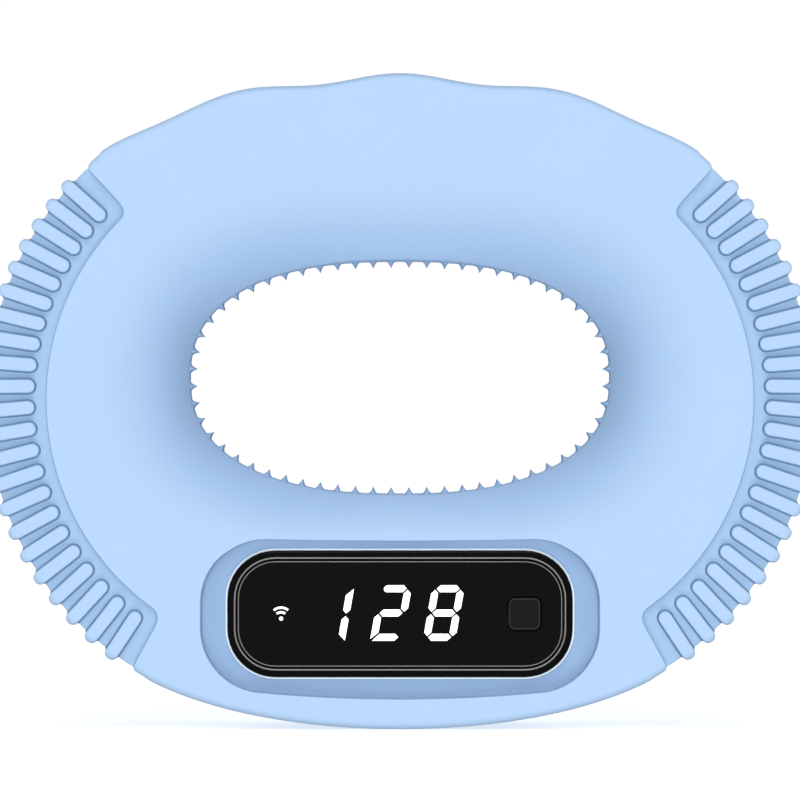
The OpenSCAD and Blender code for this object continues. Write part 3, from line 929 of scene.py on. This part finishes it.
# The cap from its back to the middle of its front: how far its outline grows and the depth
CAP = ((0, -12.2), (0, -13.38), (-0.03, -13.45), (-0.09, -13.5), (-0.21, -13.51), (-0.24, -13.47),
       (-0.9, -13.46), (-1.5, -13.45))
# The rim rows take the lighter black, a painted highlight round the cap's front edge.
RIM_ROWS = (2, 3)         # the rows of faces that make the cap's lighter rim

shape = Shape()
verts, faces = loft([(cap_loop(grow), y) for grow, y in CAP])
row_length = len(cap_loop(0))
shape.add(verts, faces, [1 if i // row_length in RIM_ROWS else 0 for i in range(len(faces))])
flange = outline(*FLANGE, 0, BUTTON_X, MOD_Z, seg=3, flat=3)
shape.add(*loft([(flange, -12.21), (flange, -11.7)]))
stem = circle(BUTTON_X, MOD_Z, STEM_R, 24)
shape.add(*loft([(stem, -11.71), (stem, -9.76)]))
cap = shape.make("button_top", [BUTTON_GLOSS, BUTTON_RIM_HIGHLIGHT])
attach(cap, "button_body")
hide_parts("button_cap")


# ---------------------------------------------------------------- floor, light and camera
def stage_piece(name, mesh, material):
    """A floor or backdrop that the camera sees and the object isn't lit or shaded by."""
    mesh.materials.append(material)
    obj = bpy.data.objects.new(name, mesh)
    bpy.context.collection.objects.link(obj)
    obj.visible_diffuse = False
    obj.visible_glossy = False
    obj.visible_shadow = False


floor_white = principled(
    "floor_white", (0.9, 0.9, 0.9), 0.9, spec=0.0, noise=0.004, scale=8, emit=(1, 1, 1), strength=0.5)
floor_half = 2.95         # metres
floor_z = -0.00005
floor_mesh = bpy.data.meshes.new("floor")
floor_corners = [(-floor_half, -floor_half, floor_z), (floor_half, -floor_half, floor_z),
                 (floor_half, floor_half, floor_z), (-floor_half, floor_half, floor_z)]
floor_mesh.from_pydata(floor_corners, [], [(0, 1, 2, 3)])
stage_piece("floor", floor_mesh, floor_white)

backdrop_white = principled("backdrop_white", (0, 0, 0), 1.0, spec=0.0, emit=(1, 1, 1), strength=1.02)
dome = bmesh.new()
bmesh.ops.create_icosphere(dome, subdivisions=4, radius=3.0)
dome_mesh = bpy.data.meshes.new("backdrop")
dome.to_mesh(dome_mesh)
dome.free()
stage_piece("backdrop", dome_mesh, backdrop_white)

world = bpy.data.worlds.new("studio")
bpy.context.scene.world = world
world.use_nodes = True
world.node_tree.nodes["Background"].inputs["Color"].default_value = (1, 1, 1, 1)
world.node_tree.nodes["Background"].inputs["Strength"].default_value = 0.25


def aim_light(name, data, at, target):
    obj = bpy.data.objects.new(name, data)
    obj.location = at
    obj.rotation_euler = (Vector(target) - Vector(at)).to_track_quat("-Z", "Y").to_euler()
    bpy.context.collection.objects.link(obj)
    return obj


def area(name, at, target, size, power):
    data = bpy.data.lights.new(name, "AREA")
    data.shape = "SQUARE"
    data.size = size
    data.energy = power
    aim_light(name, data, at, target)


def sun(name, at, strength, spread, glossy):
    data = bpy.data.lights.new(name, "SUN")
    data.energy = strength
    data.angle = math.radians(spread)
    obj = aim_light(name, data, at, (0, 0, 0))
    obj.visible_glossy = glossy


sun("front", (0, -1, 0.21), 1.47, 24, False)
sun("top", (0, -0.8, 1), 0.95, 30, True)
sun("table_bounce", (0, -1, -0.9), 1.52, 40, False)
sun("back", (0, 1, 0.1), 2.3, 14, False)
area("side_right", (0.6, 0.06, 0.16), (0, 0, 0.04), 0.3, 1.2)
area("side_left", (-0.6, 0.06, 0.16), (0, 0, 0.04), 0.3, 1.2)
bpy.context.scene.view_settings.view_transform = "Standard"

view_width = 0.09494      # width of the picture at the ring's front face, in metres
view_z = 0.0391
camera = bpy.data.cameras.new("camera")
camera.lens = 400
camera.sensor_width = 36
camera.clip_start = 0.1
camera.clip_end = 100
camera_obj = bpy.data.objects.new("camera", camera)
camera_obj.location = (0, -HALF * MM - view_width * camera.lens / camera.sensor_width, view_z)
camera_obj.rotation_euler = (math.radians(90), 0, 0)
bpy.context.collection.objects.link(camera_obj)
bpy.context.scene.camera = camera_obj
